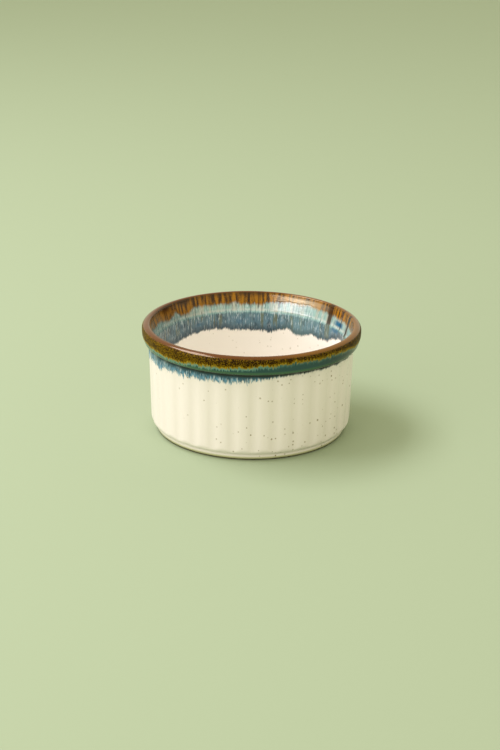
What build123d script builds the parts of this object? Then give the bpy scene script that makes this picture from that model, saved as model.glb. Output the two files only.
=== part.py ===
from build123d import *
import os
from math import cos, radians, sin

# A fluted 9 cm ramekin in fired stoneware, with the coats of glaze that lie on it.
# Sizes are in millimetres and +Z is up. The origin is on the dish's axis, at the level
# of the table that its foot ring stands on.

# Overall sizes of the finished dish, over all its coats
rim_diameter = 90.0
dish_height = 45.0

# Thickness of each coat, and how much more glaze settles in a valley between two ribs
cream_thickness = 0.35
blue_thickness = 0.2
brown_thickness = 0.2
valley_pooling = 0.1

# The sizes from here to the foot are taken on the cream glaze.
# Rim: the plain collar above the ribs
crest_inset = 2.1
crest_drop = 1.7
crest_inner_radius = 0.7
rim_belly_height = 5.3
rim_tuck = 1.2

# Ribbed wall
rim_overhang = 2.35
wall_taper = 0.95
wall_thickness = 2.85
corner_radius = 3.2
rib_count = 31
rib_depth = 0.5
rib_stock = 0.05
first_valley_angle = 2.1
crown_share = 0.6

# Inside
ledge_drop = 8.2
ledge_height = 0.6
ledge_step = 0.5
inner_taper = 0.9
floor_thickness = 3.9
floor_fillet = 7.0

# Foot
foot_height = 2.4
foot_inset = 2.15
foot_edge_radius = 0.5
ring_width = 3.8
recess_depth = 1.5
recess_slope = 0.6
bare_height = 0.6

# Lower edges of the coloured coats, measured down from the finished crest
blue_outer_drop = 9.6
blue_inner_drop = 16.6
brown_outer_drop = 3.5
brown_inner_drop = 5.4

# How far a cutting shape runs past what it cuts
overrun = 1.0

# Radii and levels that follow from the sizes above
coats_over_cream = blue_thickness + brown_thickness
rim_radius = rim_diameter / 2 - coats_over_cream
crest_level = dish_height - coats_over_cream
crest_radius = rim_radius - crest_inset
widest_level = crest_level - crest_drop
crease_level = widest_level - rim_belly_height
wall_top_radius = rim_radius - rim_overhang
wall_low_radius = wall_top_radius - wall_taper
corner_level = foot_height + corner_radius
inner_top_radius = wall_top_radius - wall_thickness
inner_low_radius = inner_top_radius - inner_taper
ledge_level = crest_level - ledge_drop
mouth_level = crest_level - crest_inner_radius
mouth_radius = crest_radius - crest_inner_radius
floor_level = recess_depth + floor_thickness
fillet_level = floor_level + floor_fillet
foot_radius = wall_low_radius - foot_inset
root_level = (foot_height + floor_level) / 2
ring_inner_radius = foot_radius - ring_width
mid_wall_radius = (wall_top_radius - rib_depth + inner_top_radius) / 2
mid_ring_radius = foot_radius - ring_width / 2
mid_floor_level = recess_depth + floor_thickness / 2


def foot_outline(rise):
    """Foot ring and the recess inside it, from the axis out and back again."""
    side = foot_radius + rise
    ring_inner = ring_inner_radius - rise
    ceiling = recess_depth - rise
    with BuildLine() as outline:
        Polyline(
            (0, root_level),
            (0, ceiling),
            (ring_inner - recess_slope, ceiling),
            (ring_inner, 0),
            (side - foot_edge_radius, 0),
        )
        CenterArc((side - foot_edge_radius, foot_edge_radius), foot_edge_radius, -90, 90)
        Polyline((side, foot_edge_radius), (side, root_level), (0, root_level))
    return outline.line


def bowl_outline(rise):
    """Corner, wall, rim, crest, ledge and floor, from the axis out, up, over and back in."""
    corner = corner_radius + rib_stock + rise
    corner_axis = wall_low_radius - corner_radius
    wall_low = corner_axis + corner
    wall_top = wall_top_radius + rib_stock + rise
    lip = rim_radius - rim_tuck
    crease = crease_level - rise
    mouth = mouth_radius - rise
    fillet_axis = inner_low_radius - floor_fillet
    with BuildLine() as outline:
        Line((0, corner_level - corner), (corner_axis, corner_level - corner))
        CenterArc((corner_axis, corner_level), corner, -90, 90)
        Polyline((wall_low, corner_level), (wall_top, crease), (lip, crease))
        EllipticalCenterArc(
            (lip, widest_level),
            rim_tuck + rise,
            rim_belly_height + rise,
            start_angle=-90,
            arc_size=90,
        )
        EllipticalCenterArc(
            (crest_radius, widest_level),
            crest_inset + rise,
            crest_drop + rise,
            arc_size=90,
        )
        CenterArc((crest_radius, mouth_level), crest_inner_radius + rise, 90, 90)
        Polyline(
            (mouth, mouth_level),
            (inner_top_radius + ledge_step - rise, ledge_level + ledge_height),
            (inner_top_radius - rise, ledge_level),
            (inner_low_radius - rise, fillet_level),
        )
        CenterArc((fillet_axis, fillet_level), floor_fillet - rise, 0, -90)
        Polyline(
            (fillet_axis, floor_level + rise),
            (0, floor_level + rise),
            (0, corner_level - corner),
        )
    return outline.line


def polar(radius, angle):
    """Point at a radius and an angle in degrees, counted from the front at -Y."""
    return (radius * sin(radians(angle)), -radius * cos(radians(angle)))


def rib_outline(crown, depth):
    """Ring of ribs: each wide convex crown is joined to the next by a narrow valley."""
    pitch = 360 / rib_count
    half_crown = pitch * crown_share / 2
    shoulder = crown - depth * crown_share
    with BuildLine() as outline:
        for rib in range(rib_count):
            valley = first_valley_angle + rib * pitch
            middle = valley + pitch / 2
            start = polar(shoulder, middle - half_crown)
            end = polar(shoulder, middle + half_crown)
            next_start = polar(shoulder, middle + pitch - half_crown)
            ThreePointArc(start, polar(crown, middle), end)
            ThreePointArc(end, polar(crown - depth, valley + pitch), next_start)
    return outline.line


def crown_radius(level):
    """Radius of the rib crowns at a level, along the wall's straight taper."""
    climb = (level - corner_level) / (crease_level - corner_level)
    return wall_low_radius + wall_taper * climb


def turned_dish(rise):
    """The dish as it is turned, with a plain wall, its skin raised over the cream by rise."""
    with BuildPart() as shape:
        with BuildSketch(Plane.XZ):
            make_face(foot_outline(rise).edges())
            make_face(bowl_outline(rise).edges())
        revolve(axis=Axis.Z)
    return shape.part


def ribbed_dish(rise, depth):
    """The same dish with the valleys between the ribs taken out of its wall."""
    low = foot_height - overrun
    top = crease_level + overrun
    with BuildPart() as ribs:
        for level in (low, top):
            with BuildSketch(Plane.XY.offset(level)):
                make_face(rib_outline(crown_radius(level) + rise, depth).edges())
        loft(ruled=True)
    with BuildPart() as waste:
        with BuildSketch(Plane.XY.offset(foot_height)):
            Circle(rim_radius + overrun)
        extrude(amount=crease_level - rise - foot_height)
        add(ribs.part, mode=Mode.SUBTRACT)
    with BuildPart() as shape:
        add(turned_dish(rise))
        add(waste.part, mode=Mode.SUBTRACT)
    return shape.part


def coat_zone(outer_drop, inner_drop, parting):
    """Solid that a coloured coat keeps to: inside and outside the parting radius."""
    top = dish_height + overrun
    far = rim_diameter / 2 + overrun
    inner_edge = dish_height - inner_drop
    outer_edge = dish_height - outer_drop
    with BuildPart() as zone:
        with BuildSketch(Plane.XZ):
            with BuildLine():
                Polyline(
                    (far, top),
                    (0, top),
                    (0, inner_edge),
                    (parting, inner_edge),
                    (parting, outer_edge),
                    (far, outer_edge),
                    close=True,
                )
            make_face()
        revolve(axis=Axis.Z)
    return zone.part


# Surfaces between one layer and the next
clay_surface = ribbed_dish(-cream_thickness, rib_depth + valley_pooling)
cream_surface = ribbed_dish(0, rib_depth)

# Fired clay: floor, ribbed wall, rim and foot ring
with BuildPart() as stoneware_body:
    add(clay_surface)

# Cream glaze over the outside, the rim and the inside, ending above the foot's edge
with BuildPart() as cream_glaze:
    add(cream_surface)
    Cylinder(
        mid_ring_radius,
        mid_floor_level,
        align=(Align.CENTER, Align.CENTER, Align.MIN),
        mode=Mode.SUBTRACT,
    )
    Cylinder(
        rim_radius,
        bare_height,
        align=(Align.CENTER, Align.CENTER, Align.MIN),
        mode=Mode.SUBTRACT,
    )
    add(clay_surface, mode=Mode.SUBTRACT)

# The same glaze under the floor, inside the bare foot ring
with BuildPart() as base_glaze:
    with BuildSketch(Plane.XY.offset(bare_height)):
        Circle(mid_ring_radius)
    extrude(amount=mid_floor_level - bare_height)
    add(turned_dish(0), mode=Mode.INTERSECT)
    add(turned_dish(-cream_thickness), mode=Mode.SUBTRACT)

# Blue glaze over the cream, from just below the rim outside to well inside the bowl
with BuildPart() as blue_glaze:
    add(ribbed_dish(blue_thickness, rib_depth))
    add(coat_zone(blue_outer_drop, blue_inner_drop, mid_wall_radius), mode=Mode.INTERSECT)
    add(cream_surface, mode=Mode.SUBTRACT)

# Brown glaze over the blue, along the crest of the rim
with BuildPart() as brown_rim_glaze:
    add(turned_dish(coats_over_cream))
    add(coat_zone(brown_outer_drop, brown_inner_drop, crest_radius), mode=Mode.INTERSECT)
    add(turned_dish(blue_thickness), mode=Mode.SUBTRACT)

os.makedirs("parts", exist_ok=True)
for name, piece in (
    ("stoneware_body", stoneware_body),
    ("cream_glaze", cream_glaze),
    ("base_glaze", base_glaze),
    ("blue_glaze", blue_glaze),
    ("brown_rim_glaze", brown_rim_glaze),
):
    piece.part.label = name
    export_step(piece.part, f"parts/{name}.step")
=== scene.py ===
"""Finish of a fluted stoneware ramekin: its glaze coats, bare clay, floor, light and camera."""

import math
from functools import partial

import bpy
import numpy as np
from bpy.props import FloatProperty, FloatVectorProperty, IntProperty, PointerProperty
from bpy.types import Operator, Panel, PropertyGroup
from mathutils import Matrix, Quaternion, Vector


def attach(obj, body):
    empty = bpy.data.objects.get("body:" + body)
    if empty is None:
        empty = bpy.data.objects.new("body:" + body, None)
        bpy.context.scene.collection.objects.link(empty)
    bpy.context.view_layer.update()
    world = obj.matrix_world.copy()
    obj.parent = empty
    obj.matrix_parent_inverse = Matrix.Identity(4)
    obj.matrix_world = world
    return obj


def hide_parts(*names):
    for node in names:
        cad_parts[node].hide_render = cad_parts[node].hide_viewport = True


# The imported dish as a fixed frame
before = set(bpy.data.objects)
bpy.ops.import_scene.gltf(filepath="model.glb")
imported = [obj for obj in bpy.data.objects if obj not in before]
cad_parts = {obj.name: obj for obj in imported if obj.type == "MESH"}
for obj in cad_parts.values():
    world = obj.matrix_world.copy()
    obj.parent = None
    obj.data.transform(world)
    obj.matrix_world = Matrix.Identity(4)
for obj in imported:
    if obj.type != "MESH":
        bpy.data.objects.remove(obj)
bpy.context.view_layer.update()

bl_info = {
    "name": "Ramekin glazes",
    "version": (1, 0, 0),
    "blender": (4, 5, 0),
    "location": "View3D > Sidebar > Ramekin",
    "description": "Lays the cream, blue and brown glaze coats on a fluted stoneware ramekin",
    "category": "Add Mesh",
}

# Metres in a millimetre, and the one body that every coat rides on
MM = 0.001
BODY = "root"


def length(name, description, millimetres):
    """A length property whose default is written in millimetres."""
    return FloatProperty(
        name=name,
        description=description,
        default=millimetres * MM,
        min=0.0,
        unit="LENGTH",
        precision=5,
    )


def colour(name, description, red, green, blue):
    """A colour property whose default is written in display values from 0 to 255."""
    return FloatVectorProperty(
        name=name,
        description=description,
        subtype="COLOR_GAMMA",
        size=3,
        min=0.0,
        max=1.0,
        default=(red / 255, green / 255, blue / 255),
    )


class RamekinSizes(PropertyGroup):
    """Sizes of the dish, all taken on its cream glaze, and of the coats over it."""

    rim_radius: length("Rim radius", "Axis to the rim's widest line", 44.6)
    height: length("Height", "Table to the crest of the rim", 44.6)
    crest_inset: length("Crest inset", "Widest line in to the crest's top", 2.1)
    crest_drop: length("Crest drop", "Crest's top down to the widest line", 1.7)
    crest_inner: length("Inner crest radius", "Rounding on the inside of the crest", 0.7)
    belly_height: length("Belly height", "Widest line down to the rim's lower edge", 5.3)
    rim_tuck: length("Rim tuck", "How far the rim's lower edge draws in", 1.2)
    overhang: length("Rim overhang", "Widest line out from the wall's top", 2.35)
    wall_taper: length("Wall taper", "How far the wall draws in down to its corner", 0.95)
    wall_thickness: length("Wall thickness", "Rib crown through to the inside", 2.85)
    corner_radius: length("Corner radius", "Rounding at the foot of the wall", 3.2)
    rib_depth: length("Rib depth", "Crown down to the valley between two ribs", 0.5)
    ledge_drop: length("Ledge drop", "Crest down to the ledge inside the rim", 8.2)
    ledge_height: length("Ledge height", "Height of the ledge's slope", 0.6)
    ledge_step: length("Ledge step", "How far the ledge stands in", 0.5)
    inner_taper: length("Inner taper", "How far the inside draws in to the fillet", 0.9)
    floor_level: length("Floor level", "Table to the top of the floor", 5.4)
    floor_fillet: length("Floor fillet", "Rounding between wall and floor inside", 7.0)
    foot_height: length("Foot height", "Table to the underside of the corner", 2.4)
    foot_inset: length("Foot inset", "Foot's side in from the foot of the wall", 2.15)
    bare_height: length("Bare height", "Table to the lower edge of the glaze", 0.6)
    cream_thickness: length("Cream thickness", "Thickness of the cream coat", 0.35)
    blue_thickness: length("Blue thickness", "Thickness of the blue coat", 0.2)
    brown_thickness: length("Brown thickness", "Thickness of the brown coat", 0.2)
    softness: length("Edge softness", "How far glaze rounds every corner it flows over", 0.28)
    rib_count: IntProperty(
        name="Ribs", description="Ribs round the wall", default=31, min=3
    )
    first_valley: FloatProperty(
        name="First valley",
        description="Angle of the first valley from the front",
        default=math.radians(2.1),
        subtype="ANGLE",
    )


class RamekinColours(PropertyGroup):
    """Colours of the clay and of the glazes, as they look in white light, with painted light,
    shade and highlights in some of them.
    """

    cream: colour("Cream", "Cream glaze on the wall", 240, 231, 222)
    # Painted light: the bowl is the cream glaze made lighter, for the light that falls into the
    # dish
    bowl: colour("Bowl", "Cream glaze in the bowl", 252, 246, 238)
    # Painted shade and a painted green reflection: the foot is the cream glaze made darker and
    # greener, for the shade it sits in and the green that it faces below
    foot: colour("Foot", "Cream glaze on the foot, over its darker clay", 198, 196, 150)
    speck: colour("Specks", "Iron specks in the cream glaze", 118, 98, 8)
    # Bare fired clay, made darker as a painted contact shadow where the foot meets the table
    clay: colour("Clay", "Bare fired clay of the foot ring", 98, 82, 60)
    clay_grain: colour("Clay grain", "Darker grains in the bare clay", 68, 54, 38)
    navy: colour("Navy", "Lower edge of the blue inside", 32, 56, 70)
    slate: colour("Slate", "Blue glaze on the wall inside", 90, 125, 141)
    dark_slate: colour("Dark slate", "Dark streaks in the blue glaze", 50, 80, 92)
    moss: colour("Moss", "Broad olive runs in the blue inside", 102, 106, 68)
    turquoise: colour("Turquoise", "Blue glaze at the ledge inside", 92, 128, 136)
    ridge: colour("Ridge", "Blue glaze that has run thin over the ledge", 184, 200, 194)
    pale: colour("Pale turquoise", "Thin blue glaze above the ledge", 146, 180, 172)
    tan: colour("Tan", "Broad runs above the ledge where cream shows through", 206, 194, 168)
    streak: colour("Pale streaks", "Thin pale streaks in the blue glaze", 214, 226, 230)
    pool: colour("Pool", "Glaze pooled thick and deep blue by the ledge", 0, 88, 126)
    shallow: colour("Shallow", "Thin blue along the edge of the brown outside", 110, 158, 140)
    teal: colour("Teal", "Blue glaze low on the rim outside", 28, 70, 68)
    # Lip: a lighter green line on the rim's lower edge, a painted highlight tinted by a painted
    # green reflection
    lip: colour("Lip", "Green glaze on the rim's lower edge", 58, 98, 68)
    # Crease: glaze pooled in the corner under the rim, made darker still as painted shade under
    # the overhang
    crease: colour("Crease", "Glaze pooled in the corner under the rim", 0, 26, 20)
    deep: colour("Deep blue", "Blue runs just below the rim outside", 32, 72, 84)
    fringe: colour("Fringe", "Lower ends of the blue runs outside", 90, 140, 165)
    umber: colour("Umber", "Brown glaze inside the rim, and its drips", 46, 20, 2)
    gold: colour("Gold", "Golden streaks in the brown glaze inside", 158, 106, 10)
    ochre: colour("Ochre", "Golden edge of the brown glaze outside", 176, 148, 26)
    brown: colour("Brown", "Dark grains in the rim's glaze outside", 34, 17, 0)
    olive: colour("Olive", "Golden olive grains in the rim's glaze outside", 120, 92, 0)
    crest: colour("Crest", "Brown glaze where it is thin along the crest", 92, 45, 0)
    # Amber: a lighter amber laid along the right of the crest
    amber: colour("Amber", "Thin brown glaze along the right of the crest", 114, 70, 0)
    floor: colour("Floor", "The plain pale floor", 162, 176, 144)


# Heights of the glazes' lower edges round the dish: (angle from the front, millimetres
# above the table). Positive angles are to the right of the front.
BLUE_OUTER_EDGE = (
    (-85, 30.9), (-66, 30.9), (-58, 31.9), (-50, 32.7), (-43, 32.8), (-32, 33.3),
    (-18, 33.2), (-8, 33.6), (2, 34.3), (11, 35.3), (20, 35.9), (40, 35.9),
    (52, 35.6), (75, 35.3), (100, 34.9), (130, 33.8), (160, 34.6), (190, 32.6),
    (225, 34.0), (250, 33.0),
)
BLUE_INNER_EDGE = (
    (-178, 28.2), (-170, 28.5), (-158, 29.3), (-148, 29.4), (-140, 28.7), (-131, 28.1),
    (-126, 26.9), (-105, 27.8), (-80, 29.2), (-50, 27.6), (-20, 28.8), (15, 27.4),
    (45, 28.8), (75, 28.4), (96, 31.8), (108, 33.0), (117, 31.8), (125, 29.4),
    (133, 28.7), (139, 29.9), (146, 27.9), (151, 28.2), (157, 30.0), (167, 27.7),
)
BROWN_OUTER_EDGE = (
    (-75, 39.9), (-60, 39.7), (-46, 39.3), (-30, 39.8), (-17, 40.1), (-6, 40.5),
    (3, 40.8), (10, 41.4), (25, 41.9), (46, 41.8), (60, 41.0), (72, 40.3),
    (110, 40.8), (150, 39.9), (190, 40.8), (230, 40.2),
)
BROWN_INNER_EDGE = (
    (-175, 40.3), (-159, 40.5), (-141, 40.2), (-137, 38.9), (-133, 37.9), (-130, 39.5),
    (-127, 40.3), (-121, 38.8), (-111, 40.0), (-80, 40.6), (-40, 39.8), (0, 40.4),
    (40, 39.6), (75, 40.8), (96, 41.0), (116, 40.5), (136, 41.2), (150, 41.7),
    (161, 41.4), (173, 40.2),
)

# How each edge wavers round the dish: (height, waves in a whole turn, seed). The blue's
# outer edge wavers by shares of how far it has run down below the corner under the rim.
BLUE_OUTER_WAVER_SHARES = ((0.13, 150, 3), (0.2, 340, 4))
BLUE_INNER_WAVER = ((0.35, 90, 5), (0.2, 260, 6))
BROWN_OUTER_WAVER = ((0.3, 110, 7), (0.3, 320, 8))
BROWN_INNER_WAVER = ((0.5, 70, 9), (0.3, 220, 10))

# Depth of the blue pooled in that corner, and the least run that its waver is a share of
CORNER_POOL = 1.2
LEAST_FALL = 0.25

# Narrow brown drips inside: (angle from the front, height of the lower end, width,
# strength from 0 to 1), in degrees and millimetres
BROWN_DRIPS = (
    (125, 30.5, 1.1, 1.0), (102, 33.5, 0.9, 0.9), (163, 38.0, 0.4, 0.55),
    (176, 37.5, 0.35, 0.6), (-166, 38.2, 0.4, 0.4), (112, 36.0, 0.35, 0.7),
    (-60, 35.0, 0.5, 0.8), (20, 36.0, 0.4, 0.7),
)

# How far a drip's lower end fades, below its height and above it
DRIP_TIP = (1.0, 1.5)

# Deep blue pools inside: (angle from the front, run, width, height, strength from 0 to 1)
BLUE_POOLS = (
    (114, -6.5, 3.1, 1.0, 1.0), (116, -9.9, 2.3, 0.8, 0.75), (-45, -7.0, 1.5, 0.5, 0.8),
    (188, -13.2, 1.2, 0.9, 0.5), (216, -12.9, 1.6, 0.7, 0.35),
)

# Ribs: a crown's share of their pitch and depth, how softly a valley meets its crowns,
# and how far below the rim's lower edge they fade out
CROWN_SHARE = 0.6
RIB_SOFTNESS = 0.06
RIB_FADE = 0.9

# Grid of the cream coat: millimetres between its rows on the wall, where the blue ends,
# on the rim and in the bowl, and on its back away from the crest and along it
WALL_STEP = 0.6
EDGE_STEP = 0.3
RIM_STEP = 0.5
BOWL_STEP = 0.7
BACK_STEP = 0.9
CREST_STEP = 0.4

# Heights just below the blue's lowest runs outside and inside, the runs that the rim and
# its crest take to each side, and the gap that the coat's last row leaves to the axis
FRINGE_LEVEL = 29.5
HEM_LEVEL = 25.5
RIM_RUN = 8.0
CREST_RUN = 2.0
AXIS_GAP = 0.8

# The cream coat's lowest edge outside thins by this share of its thickness, over this run
FOOT_THINNING_SHARE = 0.6
FOOT_THINNING_RUN = 0.6

# Run on the rim where the brown's mottled outer face begins
FACE_RUN = 1.9

# Colours of the blue coat, by the run from the crest
BLUE_BY_RUN = (
    (-20.0, "slate"),
    (-11.5, "slate"),
    (-9.6, "turquoise"),
    (-8.6, "pale"),
    (-7.9, "ridge"),
    (-7.1, "pale"),
    (-1.0, "pale"),
    (1.0, "teal"),
    (6.6, "teal"),
    # Lip stops: painted green highlight along the rim's lower edge
    (7.3, "lip"),
    (7.7, "lip"),
    # Crease stops: pooled glaze with painted shade under the rim, carried down onto the wall's
    # top
    (8.3, "crease"),
    (10.7, "crease"),
    (11.4, "deep"),
    (12.5, "fringe"),
    (18.0, "fringe"),
)

# Colour of the light that a glaze mirrors: plain, and over the iron in the brown
WHITE = (1.0, 1.0, 1.0, 1.0)
LUSTRE = (1.0, 0.82, 0.55, 1.0)

# Fine ripple of every surface: strength from 0 to 1, and height in millimetres
RIPPLE_STRENGTH = 0.35
RIPPLE_HEIGHT = 0.05

# Light of the room all round, and softboxes: (name, angle from the front, elevation,
# distance, width, height, watts, colour), in degrees and metres
ROOM_LIGHT = 0.87
ROOM_TINT = (1.0, 0.955, 0.75, 1.0)
LAMPS = (
    ("window", -50, 14, 0.9, 0.95, 0.06, 2.3, (1.0, 0.97, 1.05)),
    ("skylight", -98, 58, 1.2, 0.9, 0.42, 10.6, (1.0, 0.97, 1.07)),
)

# Floor and camera, in metres and degrees, with the lens and its sensor in millimetres
FLOOR_HALF = 4.0
FLOOR_ROUGHNESS = 0.9
CAMERA_PLACE = (-0.0004, -0.6517, 0.2603)
CAMERA_AIM = (-0.0004, 0.0, 0.02178)
CAMERA_ROLL = 0.79
LENS = 80.36
SENSOR_WIDTH = 36.0


def sizes():
    """The dish's sizes, in millimetres, as plain numbers."""
    group = bpy.context.scene.ramekin_sizes
    lengths = {}
    for name, value in group.bl_rna.properties.items():
        if value.type == "FLOAT" and value.unit == "LENGTH":
            lengths[name] = getattr(group, name) / MM
    lengths["rib_count"] = group.rib_count
    lengths["first_valley"] = group.first_valley
    return lengths


def smoothstep(low, high, x):
    """Soft step from 0 at low to 1 at high."""
    t = np.clip((x - low) / (high - low), 0, 1)
    return t * t * (3 - 2 * t)


def arc(centre, radii, first, last, points=24):
    """Points along an arc of an ellipse, between two angles in degrees."""
    turn = np.radians(np.linspace(first, last, points))
    return np.stack(
        [centre[0] + radii[0] * np.cos(turn), centre[1] + radii[1] * np.sin(turn)], 1
    )


class Profile:
    """Half section of the cream surface. The run s is counted in millimetres from the
    crest: it grows down the outside, and falls below zero down the inside."""

    STEP = 0.05

    def __init__(self, d):
        self.wall_top = d["rim_radius"] - d["overhang"]
        self.wall_low = self.wall_top - d["wall_taper"]
        self.corner = d["foot_height"] + d["corner_radius"]
        self.widest = d["height"] - d["crest_drop"]
        self.crease = self.widest - d["belly_height"]
        self.crest = d["rim_radius"] - d["crest_inset"]
        self.mouth = self.crest - d["crest_inner"]
        outline = np.concatenate([self.outside(d), self.inside(d)])
        lengths = np.linalg.norm(np.diff(outline, axis=0), axis=1)
        outline = outline[np.concatenate([[True], lengths > 1e-6])]
        lengths = np.linalg.norm(np.diff(outline, axis=0), axis=1)
        along = np.concatenate([[0], np.cumsum(lengths)])
        even = np.arange(0, along[-1], self.STEP)
        points = np.stack([np.interp(even, along, outline[:, k]) for k in (0, 1)], 1)
        self.points = self.soften(points, d["softness"] / self.STEP)
        slope = np.gradient(self.points, axis=0)
        slope /= np.linalg.norm(slope, axis=1)[:, None]
        self.normals = np.stack([slope[:, 1], -slope[:, 0]], 1)
        top = int(np.argmax(self.points[:, 1]))
        self.run = (top - np.arange(len(even))) * self.STEP
        self.low, self.high = self.run[-1], self.run[0]

    def outside(self, d):
        """Outline from the lower edge of the glaze up the wall and over the crest."""
        corner_axis = self.wall_low - d["corner_radius"]
        foot = self.wall_low - d["foot_inset"]
        foot_turn = math.degrees(math.acos((foot - corner_axis) / d["corner_radius"]))
        lip = d["rim_radius"] - d["rim_tuck"]
        belly = (d["rim_tuck"], d["belly_height"])
        return np.concatenate([
            [(foot, d["bare_height"])],
            arc((corner_axis, self.corner), (d["corner_radius"],) * 2, -foot_turn, 0),
            [(self.wall_top, self.crease)],
            arc((lip, self.widest), belly, -90, 0, points=40),
            arc((self.crest, self.widest), (d["crest_inset"], d["crest_drop"]), 0, 90),
        ])

    def inside(self, d):
        """Outline from the crest down to the ledge, the wall, the fillet and the axis."""
        mouth_level = d["height"] - d["crest_inner"]
        ledge = d["height"] - d["ledge_drop"]
        inner_top = self.wall_top - d["wall_thickness"]
        inner_low = inner_top - d["inner_taper"]
        fillet = (inner_low - d["floor_fillet"], d["floor_level"] + d["floor_fillet"])
        return np.concatenate([
            arc((self.crest, mouth_level), (d["crest_inner"],) * 2, 90, 180),
            [(inner_top + d["ledge_step"], ledge + d["ledge_height"]), (inner_top, ledge)],
            arc(fillet, (d["floor_fillet"],) * 2, 0, -90),
            [(0, d["floor_level"])],
        ])

    @staticmethod
    def soften(points, width):
        """Gaussian smoothing that keeps the two ends where they are."""
        reach = int(4 * width)
        kernel = np.exp(-0.5 * (np.arange(-reach, reach + 1) / width) ** 2)
        kernel /= kernel.sum()
        soft = np.empty_like(points)
        for k in (0, 1):
            start = 2 * points[0, k] - points[1:reach + 1, k][::-1]
            end = 2 * points[-1, k] - points[-reach - 1:-1, k][::-1]
            soft[:, k] = np.convolve(
                np.concatenate([start, points[:, k], end]), kernel, mode="valid"
            )
        return soft

    def at(self, s):
        """Radius, height and outward normal of the section at each run s."""
        order = self.run[::-1]
        return [np.interp(s, order, v[::-1]) for v in (*self.points.T, *self.normals.T)]

    def run_at(self, level, inside):
        """The run at which the outside or the inside stands at a height."""
        side = (self.run < 0) if inside else (self.run > 0)
        heights, runs = self.points[side, 1], self.run[side]
        order = np.argsort(heights, kind="stable")
        return np.interp(level, heights[order], runs[order])


def round_noise(theta, waves, seed):
    """Smooth noise from -1 to 1 that closes on itself after a whole turn."""
    knots = np.random.default_rng(seed).uniform(-1, 1, waves)
    place = (theta / math.tau * waves) % waves
    left = np.floor(place).astype(int) % waves
    blend = smoothstep(0, 1, place - np.floor(place))
    return knots[left] * (1 - blend) + knots[(left + 1) % waves] * blend


def waver(theta, layers):
    """Sum of round noises, each given by its height, its waves and its seed."""
    return sum(height * round_noise(theta, waves, seed) for height, waves, seed in layers)


def edge_height(theta, places):
    """Height of a glaze's edge at each angle, through listed places round the dish."""
    table = sorted((math.radians(angle) % math.tau, level) for angle, level in places)
    angles = np.array([a for a, _ in table])
    levels = np.array([h for _, h in table])
    angles = np.concatenate([angles - math.tau, angles, angles + math.tau])
    levels = np.tile(levels, 3)
    return np.interp(theta % math.tau, angles, levels)


class Glazes:
    """Where the blue and the brown coat end, where the brown drips and the blue pools."""

    def __init__(self, profile, theta):
        self.profile, self.theta = profile, theta
        blue_outer = edge_height(theta, BLUE_OUTER_EDGE)
        fall = np.clip(profile.crease - CORNER_POOL - blue_outer, LEAST_FALL, None)
        blue_outer += fall * waver(theta, BLUE_OUTER_WAVER_SHARES)
        blue_inner = edge_height(theta, BLUE_INNER_EDGE) + waver(theta, BLUE_INNER_WAVER)
        brown_outer = edge_height(theta, BROWN_OUTER_EDGE) + waver(theta, BROWN_OUTER_WAVER)
        brown_inner = edge_height(theta, BROWN_INNER_EDGE) + waver(theta, BROWN_INNER_WAVER)
        self.blue = self.edges(blue_outer, blue_inner)
        self.brown = self.edges(brown_outer, brown_inner)

    def edges(self, outer, inner):
        """Runs at which a coat ends outside and inside, from its edges' heights."""
        return self.profile.run_at(outer, inside=False), self.profile.run_at(inner, inside=True)

    @staticmethod
    def reach(edges, s):
        """Distance in from the nearer edge of a coat, below zero outside it."""
        outer, inner = edges
        return np.minimum(outer[None, :] - s[:, None], s[:, None] - inner[None, :])

    def aside(self, angle):
        """Distance round the mouth from an angle in degrees, at each column."""
        turn = (self.theta - math.radians(angle) + math.pi) % math.tau - math.pi
        return turn * self.profile.mouth

    def drips(self, s):
        """Strength of the narrow brown drips inside, from 0 to 1."""
        strength = np.zeros((len(s), len(self.theta)))
        below, above = DRIP_TIP
        for angle, level, width, weight in BROWN_DRIPS:
            beside = np.exp(-0.5 * (self.aside(angle) / width) ** 2)
            end = self.profile.run_at(level, inside=True)
            along = smoothstep(end - below, end + above, s) * (s < 0)
            strength = np.maximum(strength, weight * along[:, None] * beside[None, :])
        return strength

    def pools(self, s):
        """Strength of the deep blue pools, from 0 to 1."""
        strength = np.zeros((len(s), len(self.theta)))
        for angle, run, width, height, weight in BLUE_POOLS:
            beside = (self.aside(angle) / width) ** 4
            along = ((s - run) / height) ** 4
            spot = weight * np.exp(-0.5 * (along[:, None] + beside[None, :]))
            strength = np.maximum(strength, spot)
        return strength


def run_steps(*stretches):
    """Runs from the outside of the dish inwards, by (first, last, step) stretches."""
    runs = [np.arange(first, last, -step) for first, last, step in stretches]
    return np.concatenate(runs + [[stretches[-1][1]]])


def coat_runs(edges, margin, step, back_step):
    """Runs of a coat's front and back, from a margin past one ragged edge to the other."""
    outer, inner = edges
    front = run_steps((outer.max() + margin, inner.min() - margin, step))
    return front, run_steps((front[0], front[-1], back_step))


def coat_faces(count, columns, to_axis):
    """Faces of a coat with a count of rows. Its last row joins its first one, or each of
    the two is closed by a point on the axis, which follow the rows' own vertices."""
    first = np.arange(count)[:, None] * columns
    here = np.arange(columns)[None, :]
    there = (here + 1) % columns
    upper = first[:-1] if to_axis else first
    lower = first[1:] if to_axis else np.roll(first, -1, 0)
    quads = np.stack([upper + here, upper + there, lower + there, lower + here], 2)
    faces = quads.reshape(-1, 4).tolist()
    if to_axis:
        below, above = count * columns, count * columns + 1
        last = (count - 1) * columns
        for i in range(columns):
            j = (i + 1) % columns
            faces += [(below, j, i), (above, last + i, last + j)]
    return faces


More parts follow.
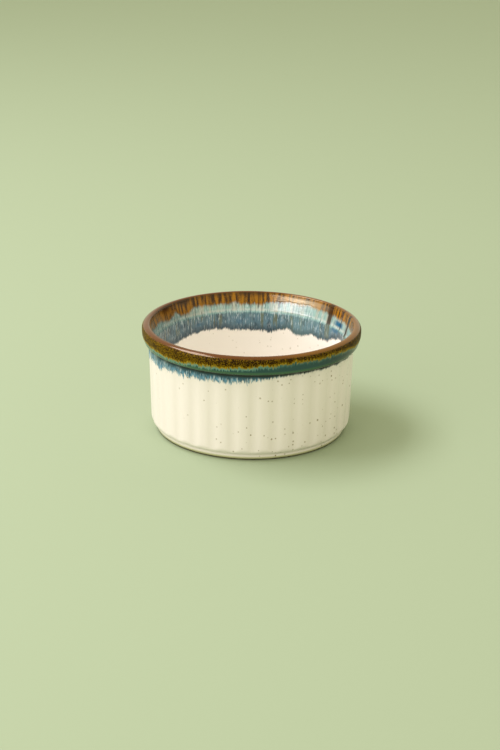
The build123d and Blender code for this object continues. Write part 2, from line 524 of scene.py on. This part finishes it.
class Dish:
    """The cream surface as a grid: rows down the section, columns round the axis."""

    STEPS_PER_RIB = 24

    def __init__(self):
        self.d = sizes()
        self.profile = Profile(self.d)
        columns = self.d["rib_count"] * self.STEPS_PER_RIB
        self.theta = np.arange(columns) / columns * math.tau
        self.glazes = Glazes(self.profile, self.theta)

    def valleys(self):
        """Depth of the ribbing at each column, from 0 on a crown to 1 in a valley."""
        turns = (self.theta - self.d["first_valley"]) / math.tau * self.d["rib_count"]
        from_valley = np.abs(turns - np.round(turns))
        half_crown = CROWN_SHARE / 2
        half_valley = 0.5 - half_crown
        crown = CROWN_SHARE * ((0.5 - from_valley) / half_crown) ** 2
        valley = 1 - (1 - CROWN_SHARE) * (from_valley / half_valley) ** 2
        return np.where(from_valley > half_valley, crown, valley)

    def surface(self, s, lift):
        """Points of the surface at runs s, raised along its normal by lift."""
        radius, height, out, up = (v[:, None] for v in self.profile.at(s))
        d, corner, crease = self.d, self.profile.corner, self.profile.crease
        climb = (height - corner) / (crease - corner)
        rib = self.profile.wall_low + d["wall_taper"] * climb - d["rib_depth"] * self.valleys()
        cut = RIB_SOFTNESS * np.logaddexp(0, (radius - rib) / RIB_SOFTNESS)
        below_rim = 1 - smoothstep(crease - RIB_FADE, crease, height)
        cut *= (s[:, None] > 0) * below_rim
        radius = radius - cut + lift * out
        height = height + lift * up + 0 * radius
        points = np.stack(
            [radius * np.sin(self.theta), -radius * np.cos(self.theta), height], 2
        )
        return points * MM

    def coat(self, name, front, back, to_axis):
        """A closed coat between a front and a back, each given by its runs and its lift. It
        ends in points on the axis or joins its edges, and carries what its colours need."""
        (s_front, front_lift), (s_back, back_lift) = front, back
        s = np.concatenate([s_back[::-1], s_front])
        rows = np.concatenate([
            self.surface(s_back, back_lift)[::-1], self.surface(s_front, front_lift)
        ])
        vertices = rows.reshape(-1, 3)
        if to_axis:
            poles = np.array([[0, 0, rows[0, 0, 2]], [0, 0, rows[-1, 0, 2]]])
            vertices = np.concatenate([vertices, poles])
        mesh = bpy.data.meshes.new(name)
        mesh.from_pydata(vertices.tolist(), [], coat_faces(*rows.shape[:2], to_axis))
        mesh.shade_smooth()
        self.store_flow(mesh, s, poles=2 if to_axis else 0)
        piece = bpy.data.objects.new(name, mesh)
        bpy.context.scene.collection.objects.link(piece)
        return piece

    def store_flow(self, mesh, s, poles):
        """Stores the flow of the glaze and the reach of each coat on every vertex."""
        flow = np.empty((len(s), len(self.theta), 3))
        flow[..., 0] = self.profile.mouth * np.sin(self.theta)
        flow[..., 1] = -self.profile.mouth * np.cos(self.theta)
        flow[..., 2] = s[:, None]
        flat = np.concatenate([flow.reshape(-1, 3), np.tile(flow[-1, 0], (poles, 1))])
        mesh.attributes.new("flow", "FLOAT_VECTOR", "POINT").data.foreach_set(
            "vector", flat.ravel()
        )
        values = {
            "blue_reach": self.glazes.reach(self.glazes.blue, s),
            "brown_reach": self.glazes.reach(self.glazes.brown, s),
            "brown_drip": self.glazes.drips(s),
            "blue_pool": self.glazes.pools(s),
        }
        for name, value in values.items():
            flat = np.concatenate([value.ravel(), np.full(poles, value[-1, 0])])
            mesh.attributes.new(name, "FLOAT", "POINT").data.foreach_set("value", flat)


def paint(name):
    """A chosen colour as the linear red, green, blue and alpha of a shader."""
    shown = getattr(bpy.context.scene.ramekin_colours, name)
    linear = [c / 12.92 if c <= 0.04045 else ((c + 0.055) / 1.055) ** 2.4 for c in shown]
    return (*linear, 1.0)


class Graph:
    """Short calls that build a shader's node tree."""

    def __init__(self, tree):
        self.tree = tree

    def put(self, value, socket):
        """Links a socket into another, or sets a plain value on it."""
        if isinstance(value, bpy.types.NodeSocket):
            self.tree.links.new(value, socket)
        else:
            socket.default_value = value

    def node(self, kind, inputs=(), **settings):
        """A node with its settings, and its inputs filled by name or place."""
        made = self.tree.nodes.new(kind)
        for name, value in settings.items():
            setattr(made, name, value)
        for key, value in dict(inputs).items():
            self.put(value, made.inputs[key])
        return made

    def attribute(self, name, output="Fac"):
        """What a mesh stores on its vertices under a name."""
        return self.node("ShaderNodeAttribute", attribute_name=name).outputs[output]

    def math(self, operation, a, b=0.0, c=0.0):
        """Result of one step of arithmetic."""
        made = self.node("ShaderNodeMath", {0: a, 1: b, 2: c}, operation=operation)
        return made.outputs[0]

    def times(self, first, *factors):
        """Product of values."""
        for factor in factors:
            first = self.math("MULTIPLY", first, factor)
        return first

    def line(self, value, slope, start):
        """Straight line through a value: the start at 0, and a slope more at 1."""
        return self.math("MULTIPLY_ADD", value, slope, start)

    def stretch(self, vector, x, y, z):
        """The vector with each part scaled by its own factor."""
        made = self.node(
            "ShaderNodeVectorMath", {0: vector, 1: (x, y, z)}, operation="MULTIPLY"
        )
        return made.outputs[0]

    def place(self):
        """Place on the dish, in millimetres."""
        place = self.node("ShaderNodeTexCoord").outputs["Object"]
        return self.stretch(place, 1 / MM, 1 / MM, 1 / MM)

    def step(self, value, low, high):
        """Smooth step of a value from 0 at low to 1 at high."""
        made = self.node(
            "ShaderNodeMapRange",
            {"Value": value, "From Min": low, "From Max": high},
            interpolation_type="SMOOTHSTEP",
        )
        return made.outputs["Result"]

    def band(self, value, middle, half_width):
        """1 in the middle of a band and 0 beyond its half width."""
        away = self.math("ABSOLUTE", self.math("SUBTRACT", value, middle))
        return self.step(away, half_width, 0.0)

    def noise(self, vector, scale, detail=2.0, roughness=0.5):
        """Smooth noise from 0 to 1, with so many blobs in one unit of the vector."""
        made = self.node(
            "ShaderNodeTexNoise",
            {"Vector": vector, "Scale": scale, "Detail": detail, "Roughness": roughness},
        )
        return made.outputs[0]

    def mix(self, share, a, b):
        """Colour a, and colour b by its share."""
        made = self.node("ShaderNodeMix", data_type="RGBA")
        self.put(share, made.inputs["Factor"])
        self.put(a, made.inputs[6])
        self.put(b, made.inputs[7])
        return made.outputs[2]

    def over(self, below, name, *shares):
        """A colour with a chosen one laid over it, by the product of the shares."""
        return self.mix(self.times(*shares), below, paint(name))

    def ramp(self, value, stops):
        """Colour that runs through the stops, (place, colour), as the value grows."""
        low, high = stops[0][0], stops[-1][0]
        share = self.node(
            "ShaderNodeMapRange", {"Value": value, "From Min": low, "From Max": high}
        )
        made = self.node("ShaderNodeValToRGB", {"Fac": share.outputs["Result"]})
        elements = made.color_ramp.elements
        for place, shade in stops[1:-1]:
            elements.new((place - low) / (high - low)).color = shade
        elements[0].color = stops[0][1]
        elements[len(elements) - 1].color = stops[-1][1]
        return made.outputs["Color"]


def speckled_cream(g, base, strength=1.0):
    """Iron specks of a strength over a cream colour, more of them on the dish's right."""
    place = g.place()
    right = g.step(g.node("ShaderNodeSeparateXYZ", {0: place}).outputs["X"], -25.0, 20.0)
    cells = g.node("ShaderNodeTexVoronoi", {"Vector": place, "Scale": 0.6})
    chance = g.node("ShaderNodeSeparateColor", {0: cells.outputs["Color"]}).outputs
    share = g.line(right, 0.32, 0.06)
    chosen = g.step(g.math("SUBTRACT", share, chance[0]), 0.0, 0.01)
    size = g.line(chance[1], 0.16, 0.2)
    near = g.step(cells.outputs["Distance"], size, g.times(size, 0.35))
    depth = g.line(chance[2], 0.6, 0.3)
    return g.over(base, "speck", near, chosen, depth, strength)


class GlazeColours:
    """Colours of all the coats, by the flow and the reach of the glaze. The flow holds the
    place round the mouth and the run from the crest, in millimetres."""

    def __init__(self, tree):
        g = self.g = Graph(tree)
        self.flow = g.attribute("flow", "Vector")
        parts = g.node("ShaderNodeSeparateXYZ", {0: self.flow}).outputs
        self.across, self.run = parts["X"], parts["Z"]
        self.inside = g.step(self.run, 0.0, -0.5)
        self.outside = g.line(self.inside, -1.0, 1.0)
        self.on_right = g.times(g.step(self.across, 0.0, 16.0), self.outside)
        # Painted shade: the outside's right, away from the lamps, darkened with the crease
        # colour
        self.shaded_right = g.times(g.step(self.across, 20.0, 42.0), self.outside)
        # Painted shade: the inside's left, which faces away from the lamps
        self.shaded_left = g.times(g.step(self.across, -12.0, -36.0), self.inside)
        # Painted light: the inside's right, which faces the lamps
        self.lit_right = g.times(g.band(self.across, 23.0, 15.0), self.inside)

        # Noises that the flow draws out into broad runs, streaks, bars and grains
        self.broad = self.drawn_out(0.12, 0.55)
        self.streak = self.drawn_out(0.1, 1.4, 3.0, 0.6)
        self.dashes = self.drawn_out(0.14, 2.6)
        self.patches = self.drawn_out(0.45, 0.5, 3.0, 0.6)
        self.bar = self.drawn_out(0.12, 0.8, 1.5)
        self.grain = self.drawn_out(0.7, 3.2, 2.0, 0.6)
        self.fine_streak = self.drawn_out(0.16, 2.3)
        to_and_fro = g.math("SUBTRACT", self.fine_streak, 0.5)

        # Distance in from the edge of each coat, streaky by so many millimetres
        self.blue_reach = g.attribute("blue_reach")
        self.brown_reach = g.attribute("brown_reach")
        blue_depth = g.line(self.inside, -2.4, g.line(self.on_right, -3.4, 5.2))
        brown_depth = g.line(self.inside, -1.4, 4.0)
        self.blue_shore = g.line(to_and_fro, blue_depth, self.blue_reach)
        self.brown_shore = g.line(to_and_fro, brown_depth, self.brown_reach)

    def drawn_out(self, along, scale, detail=2.0, roughness=0.5):
        """Noise of the flow, whose run is shortened to a share, so that it makes streaks."""
        g = self.g
        return g.noise(g.stretch(self.flow, 1, 1, along), scale, detail, roughness)

    def plain_blue(self):
        """Blue by its run from the crest, where it lies thin, and with painted shade on the
        outside's right.
        """
        g = self.g
        sway = g.times(g.math("SUBTRACT", self.streak, 0.5), 1.6)
        swayed_run = g.line(sway, self.inside, self.run)
        blue = g.ramp(swayed_run, [(run, paint(name)) for run, name in BLUE_BY_RUN])
        # Painted shade: crease colour over the blue on the outside's right
        blue = g.over(blue, "crease", self.shaded_right, 0.85)
        left_share = g.line(self.on_right, -0.7, self.outside)
        blue = g.over(blue, "shallow", g.step(self.brown_shore, -1.1, -0.4), left_share, 0.8)
        above_ledge = g.times(g.step(self.run, -9.0, -8.2), self.inside)
        return g.over(blue, "tan", g.step(self.broad, 0.4, 0.74), above_ledge, 0.65)

    def streaked_blue(self):
        """The blue coat with its dark and pale streaks, runs, patches, hem and pools, with
        painted shade on the inside's left and painted light on the inside's right.
        """
        g, run = self.g, self.run
        on_rim_face = g.times(g.step(run, 1.0, 2.0), g.step(run, 12.0, 11.0))
        off_rim_face = g.line(on_rim_face, -1.0, 1.0)
        dark = g.times(g.step(self.streak, 0.52, 0.34), 0.6)
        # Painted shade: more dark streaks on the inside's left
        dark = g.line(self.shaded_left, 0.4, dark)
        blue = g.over(self.plain_blue(), "dark_slate", dark, off_rim_face)
        below_rim = g.times(g.step(run, 10.8, 11.6), g.step(run, 15.5, 12.8))
        blue = g.over(blue, "deep", g.step(self.fine_streak, 0.55, 0.42), below_rim, 0.75)
        below_ledge = g.step(run, -8.6, -9.6)
        blue = g.over(blue, "navy", g.step(self.patches, 0.5, 0.66), below_ledge, 0.7)
        mossy = g.times(g.step(self.broad, 0.54, 0.66), g.step(run, -8.5, -10.0))
        blue = g.over(blue, "moss", mossy, 0.65)
        near_edge = g.step(self.blue_reach, 2.4, 0.0)
        strength = g.line(near_edge, g.times(self.outside, 0.3), 0.7)
        pale_dashes = g.step(self.dashes, g.line(self.outside, -0.07, 0.57), 0.7)
        blue = g.over(blue, "streak", pale_dashes, strength, off_rim_face)
        blue = g.over(blue, "navy", g.step(self.blue_shore, 4.2, 0.6), self.inside, 0.75)
        pool = g.attribute("blue_pool")
        blue = g.over(blue, "pool", pool, g.step(self.streak, 0.22, 0.4))
        # Painted light: pale laid over the blue on the inside's right
        return g.over(blue, "pale", self.lit_right, 0.2)

    def cream(self):
        """The speckled cream coat on the wall, in the bowl with painted light, and down to the
        foot with painted shade and a painted green reflection.
        """
        g = self.g
        # Painted light: the bowl takes a lighter copy of the cream
        cream = g.mix(self.inside, paint("cream"), paint("bowl"))
        # Painted shade and green reflection on the foot
        cream = g.over(cream, "foot", g.step(self.run, 46.4, 47.2))
        return speckled_cream(g, cream, g.line(self.inside, -0.6, 1.0))

    def brown(self):
        """The brown coat: grains outside, golden bars inside, thin along the crest, with
        painted shade on the inside's left and painted light on the inside's right.
        """
        g, run = self.g, self.run
        golden = g.line(g.step(self.brown_reach, 1.8, 0.2), 0.1, self.grain)
        golden = g.line(g.step(self.streak, 0.35, 0.65), 0.06, golden)
        golden = g.line(g.step(self.across, 0.0, -28.0), 0.04, golden)
        mottled = g.mix(g.step(golden, 0.52, 0.65), paint("brown"), paint("olive"))
        bars = g.line(self.grain, 0.2, g.line(self.bar, 0.6, g.times(self.broad, 0.2)))
        near_edge = g.step(self.brown_reach, 5.4, 2.2)
        # Painted shade: fewer golden bars on the inside's left
        left_share = g.line(self.shaded_left, -0.25, 1.0)
        barred = g.over(paint("umber"), "gold", g.step(bars, 0.41, 0.56), near_edge, left_share)
        # Painted light: tan laid over the brown on the inside's right
        barred = g.over(barred, "tan", self.lit_right, g.step(run, -0.8, -1.8), 0.5)
        # The crest turns lighter amber towards the right
        crest = g.mix(g.step(self.across, 4.0, 24.0), paint("crest"), paint("amber"))
        on_crest = g.times(g.step(run, 2.0, 1.3), g.step(run, -0.8, -0.35))
        return g.mix(g.times(on_crest, 0.95), g.mix(self.inside, mottled, barred), crest)

    def finished(self):
        """Cream, the blue over it, and the brown over both with its gold edge and drips."""
        g = self.g
        glaze = g.mix(g.step(self.blue_shore, -0.4, 0.8), self.cream(), self.streaked_blue())
        soft_end = g.line(self.inside, -0.9, -0.4)
        glaze = g.mix(g.step(self.brown_shore, soft_end, 0.6), glaze, self.brown())
        edge = g.times(
            g.band(self.brown_shore, 0.4, 0.65),
            g.line(self.streak, 1.4, -0.1),
            g.line(self.inside, -0.6, 1.0),
        )
        glaze = g.mix(edge, glaze, g.mix(self.inside, paint("ochre"), paint("gold")))
        drip = g.step(g.attribute("brown_drip"), 0.1, 0.75)
        drip_strength = g.line(g.step(self.run, -8.4, -10.0), -0.4, 0.9)
        drip_colour = g.mix(g.step(self.run, -10.5, -8.0), paint("moss"), paint("umber"))
        return g.mix(g.times(drip, drip_strength), glaze, drip_colour)


def glaze_colours():
    """Node group with the colours of all the coats, made once and shared."""
    name = "Ramekin glaze colours"
    if name in bpy.data.node_groups:
        return bpy.data.node_groups[name]
    tree = bpy.data.node_groups.new(name, "ShaderNodeTree")
    tree.interface.new_socket("Color", in_out="OUTPUT", socket_type="NodeSocketColor")
    colours = GlazeColours(tree)
    colours.g.node("NodeGroupOutput", {0: colours.finished()})
    return tree


def coat_colours(g):
    """The shared colours of the glaze coats."""
    return g.node("ShaderNodeGroup", node_tree=glaze_colours()).outputs["Color"]


def clay_colours(g):
    """Bare clay with a fine grain, both its colours darkened as a painted contact shadow along
    the foot's lower edge.
    """
    grain = g.noise(g.place(), 2.2, 4.0, 0.7)
    return g.mix(g.step(grain, 0.35, 0.75), paint("clay"), paint("clay_grain"))


def surface_material(name, colours, roughness, ripple, gloss=0.5, mirror=WHITE):
    """Material whose colour comes from a function that builds it in the tree. The ripple is
    how many waves of its bump lie in a millimetre."""
    material = bpy.data.materials.new(name)
    material.use_nodes = True
    g = Graph(material.node_tree)
    shader = next(n for n in g.tree.nodes if n.type == "BSDF_PRINCIPLED")
    g.put(colours(g), shader.inputs["Base Color"])
    shader.inputs["Roughness"].default_value = roughness
    shader.inputs["Specular IOR Level"].default_value = gloss
    shader.inputs["Specular Tint"].default_value = mirror
    bump = g.node("ShaderNodeBump", {
        "Height": g.noise(g.place(), ripple),
        "Strength": RIPPLE_STRENGTH,
        "Distance": RIPPLE_HEIGHT * MM,
    })
    g.put(bump.outputs["Normal"], shader.inputs["Normal"])
    return material


def dress(node_name, material):
    """Gives a node that comes from the frame a new material."""
    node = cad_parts[node_name]
    if not node.material_slots:
        raise RuntimeError(f"{node_name} has no material slot")
    for place in node.material_slots:
        place.material = material


def set_down(piece, node_name, material):
    """Puts a coat on the dish in place of its plain solid."""
    piece.data.materials.append(material)
    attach(piece, BODY)
    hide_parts(node_name)


class RAMEKIN_OT_bare_clay(Operator):
    """Gives the fired clay body its fine-grained bare surface"""

    bl_idname = "ramekin.bare_clay"
    bl_label = "Bare Clay"

    def execute(self, context):
        material = surface_material("Bare stoneware", clay_colours, roughness=0.75, ripple=3.0)
        dress("stoneware_body", material)
        return {"FINISHED"}


class RAMEKIN_OT_cream_glaze(Operator):
    """Lays the speckled cream coat over the outside, the rim and the inside"""

    bl_idname = "ramekin.cream_glaze"
    bl_label = "Cream Glaze"

    def execute(self, context):
        dish = Dish()
        profile, thickness = dish.profile, dish.d["cream_thickness"]
        fringe = profile.run_at(FRINGE_LEVEL, inside=False)
        hem = profile.run_at(HEM_LEVEL, inside=True)
        end = profile.low + AXIS_GAP
        s = run_steps(
            (profile.high, fringe, WALL_STEP),
            (fringe, RIM_RUN, EDGE_STEP),
            (RIM_RUN, -RIM_RUN, RIM_STEP),
            (-RIM_RUN, hem, EDGE_STEP),
            (hem, end, BOWL_STEP),
        )
        s_back = run_steps(
            (profile.high, CREST_RUN, BACK_STEP),
            (CREST_RUN, -CREST_RUN, CREST_STEP),
            (-CREST_RUN, end, BACK_STEP),
        )
        full = smoothstep(0.0, FOOT_THINNING_RUN, profile.high - s)[:, None]
        lift = -FOOT_THINNING_SHARE * thickness * (1 - full)
        piece = dish.coat("cream_glaze_coat", (s, lift), (s_back, -thickness), to_axis=True)
        material = surface_material(
            "Speckled cream glaze", coat_colours, roughness=0.28, ripple=0.35
        )
        set_down(piece, "cream_glaze", material)
        return {"FINISHED"}


class RAMEKIN_OT_base_glaze(Operator):
    """Gives the glaze under the floor the same speckled cream"""

    bl_idname = "ramekin.base_glaze"
    bl_label = "Base Glaze"

    def execute(self, context):
        colours = partial(speckled_cream, base=paint("cream"))
        material = surface_material("Cream base glaze", colours, roughness=0.32, ripple=0.35)
        dress("base_glaze", material)
        return {"FINISHED"}


class RAMEKIN_OT_blue_glaze(Operator):
    """Lays the blue coat over the cream, with its ragged lower edges"""

    bl_idname = "ramekin.blue_glaze"
    bl_label = "Blue Glaze"

    def execute(self, context):
        dish = Dish()
        edges = dish.glazes.blue
        s, s_back = coat_runs(edges, margin=0.8, step=0.22, back_step=0.6)
        # Past its ragged edges the coat dives under the cream
        sunk = 0.05
        swell = smoothstep(-0.25, 0.6, dish.glazes.reach(edges, s))
        lift = (dish.d["blue_thickness"] + sunk) * swell - sunk
        piece = dish.coat("blue_glaze_coat", (s, lift), (s_back, -3 * sunk), to_axis=False)
        material = surface_material(
            "Streaked blue glaze", coat_colours, roughness=0.13, ripple=0.5
        )
        set_down(piece, "blue_glaze", material)
        return {"FINISHED"}


class RAMEKIN_OT_brown_glaze(Operator):
    """Lays the mottled brown coat over the blue, along the rim"""

    bl_idname = "ramekin.brown_glaze"
    bl_label = "Brown Rim Glaze"

    def execute(self, context):
        dish = Dish()
        edges, under = dish.glazes.brown, dish.d["blue_thickness"]
        s, s_back = coat_runs(edges, margin=0.6, step=0.18, back_step=0.45)
        # Past its ragged edges the coat dives under the blue, and inside it has run thin
        sunk, thin_share = 0.04, 0.4
        full = thin_share + (1 - thin_share) * smoothstep(-1.6, -0.2, s)[:, None]
        swell = full * smoothstep(-0.15, 0.5, dish.glazes.reach(edges, s))
        lift = under - sunk + dish.d["brown_thickness"] * swell
        back = (s_back, under - 3 * sunk)
        piece = dish.coat("brown_rim_glaze_coat", (s, lift), back, to_axis=False)
        lustrous = surface_material(
            "Lustrous brown glaze", coat_colours,
            roughness=0.13, ripple=0.5, gloss=0.55, mirror=LUSTRE,
        )
        set_down(piece, "brown_rim_glaze", lustrous)
        matte = surface_material(
            "Mottled olive glaze", coat_colours, roughness=0.45, ripple=0.5, gloss=0.06
        )
        piece.data.materials.append(matte)
        on_face = np.concatenate([s_back[::-1], s]) > FACE_RUN
        slots = np.repeat(on_face, len(dish.theta)).astype(np.int32)
        piece.data.polygons.foreach_set("material_index", slots)
        return {"FINISHED"}


def lay_floor(scene):
    """The plain pale floor, level with the table that the dish stands on."""
    mesh = bpy.data.meshes.new("floor")
    signs = ((-1, -1), (1, -1), (1, 1), (-1, 1))
    corners = [(FLOOR_HALF * x, FLOOR_HALF * y, 0) for x, y in signs]
    mesh.from_pydata(corners, [], [(0, 1, 2, 3)])
    floor = bpy.data.objects.new("floor", mesh)
    scene.collection.objects.link(floor)
    material = bpy.data.materials.new("Pale floor")
    material.use_nodes = True
    shader = material.node_tree.nodes["Principled BSDF"]
    shader.inputs["Base Color"].default_value = paint("floor")
    shader.inputs["Roughness"].default_value = FLOOR_ROUGHNESS
    mesh.materials.append(material)


def light_room(scene):
    """Even light of the room, and the softboxes aimed at the foot of the dish."""
    world = bpy.data.worlds.new("Soft room")
    world.use_nodes = True
    background = world.node_tree.nodes["Background"]
    background.inputs["Color"].default_value = ROOM_TINT
    background.inputs["Strength"].default_value = ROOM_LIGHT
    scene.world = world
    for name, turn, rise, away, width, height, watts, tint in LAMPS:
        lamp = bpy.data.lights.new(name, "AREA")
        lamp.shape = "RECTANGLE"
        lamp.size, lamp.size_y = width, height
        lamp.energy = watts
        lamp.color = tint
        turn, rise = math.radians(turn), math.radians(rise)
        flat = math.cos(rise)
        toward = Vector((-flat * math.sin(turn), flat * math.cos(turn), -math.sin(rise)))
        softbox = bpy.data.objects.new(name, lamp)
        softbox.location = -away * toward
        softbox.rotation_euler = toward.to_track_quat("-Z", "Y").to_euler()
        scene.collection.objects.link(softbox)


def place_camera(scene):
    """The camera at the viewing angle, with the small roll that it was held at."""
    lens = bpy.data.cameras.new("camera")
    lens.lens = LENS
    lens.sensor_width = SENSOR_WIDTH
    camera = bpy.data.objects.new("camera", lens)
    camera.location = CAMERA_PLACE
    toward = Vector(CAMERA_AIM) - camera.location
    roll = Quaternion((0, 0, 1), math.radians(CAMERA_ROLL))
    camera.rotation_euler = (toward.to_track_quat("-Z", "Y") @ roll).to_euler()
    scene.collection.objects.link(camera)
    scene.camera = camera


class RAMEKIN_OT_stage(Operator):
    """Sets the pale floor, the soft light and the camera"""

    bl_idname = "ramekin.stage"
    bl_label = "Stage"

    def execute(self, context):
        scene = context.scene
        lay_floor(scene)
        light_room(scene)
        place_camera(scene)
        scene.view_settings.view_transform = "Standard"
        return {"FINISHED"}


OPERATORS = (
    RAMEKIN_OT_bare_clay,
    RAMEKIN_OT_cream_glaze,
    RAMEKIN_OT_base_glaze,
    RAMEKIN_OT_blue_glaze,
    RAMEKIN_OT_brown_glaze,
    RAMEKIN_OT_stage,
)


class RAMEKIN_PT_panel(Panel):
    """Lists the sizes, the colours and the steps that dress the dish"""

    bl_idname = "RAMEKIN_PT_panel"
    bl_label = "Ramekin"
    bl_space_type = "VIEW_3D"
    bl_region_type = "UI"
    bl_category = "Ramekin"

    def draw(self, context):
        for heading, group in (
            ("Sizes", context.scene.ramekin_sizes),
            ("Colours", context.scene.ramekin_colours),
        ):
            box = self.layout.box()
            box.label(text=heading)
            for name in group.__annotations__:
                box.prop(group, name)
        for operator in OPERATORS:
            self.layout.operator(operator.bl_idname)


CLASSES = (RamekinSizes, RamekinColours, *OPERATORS, RAMEKIN_PT_panel)


def register():
    """Adds the classes and the two groups of properties."""
    for each in CLASSES:
        bpy.utils.register_class(each)
    bpy.types.Scene.ramekin_sizes = PointerProperty(type=RamekinSizes)
    bpy.types.Scene.ramekin_colours = PointerProperty(type=RamekinColours)


def unregister():
    """Takes them away again."""
    del bpy.types.Scene.ramekin_colours
    del bpy.types.Scene.ramekin_sizes
    for each in reversed(CLASSES):
        bpy.utils.unregister_class(each)


def main():
    """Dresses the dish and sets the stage."""
    register()
    for operator in OPERATORS:
        getattr(bpy.ops.ramekin, operator.bl_idname.split(".")[1])()


if __name__ == "__main__":
    main()
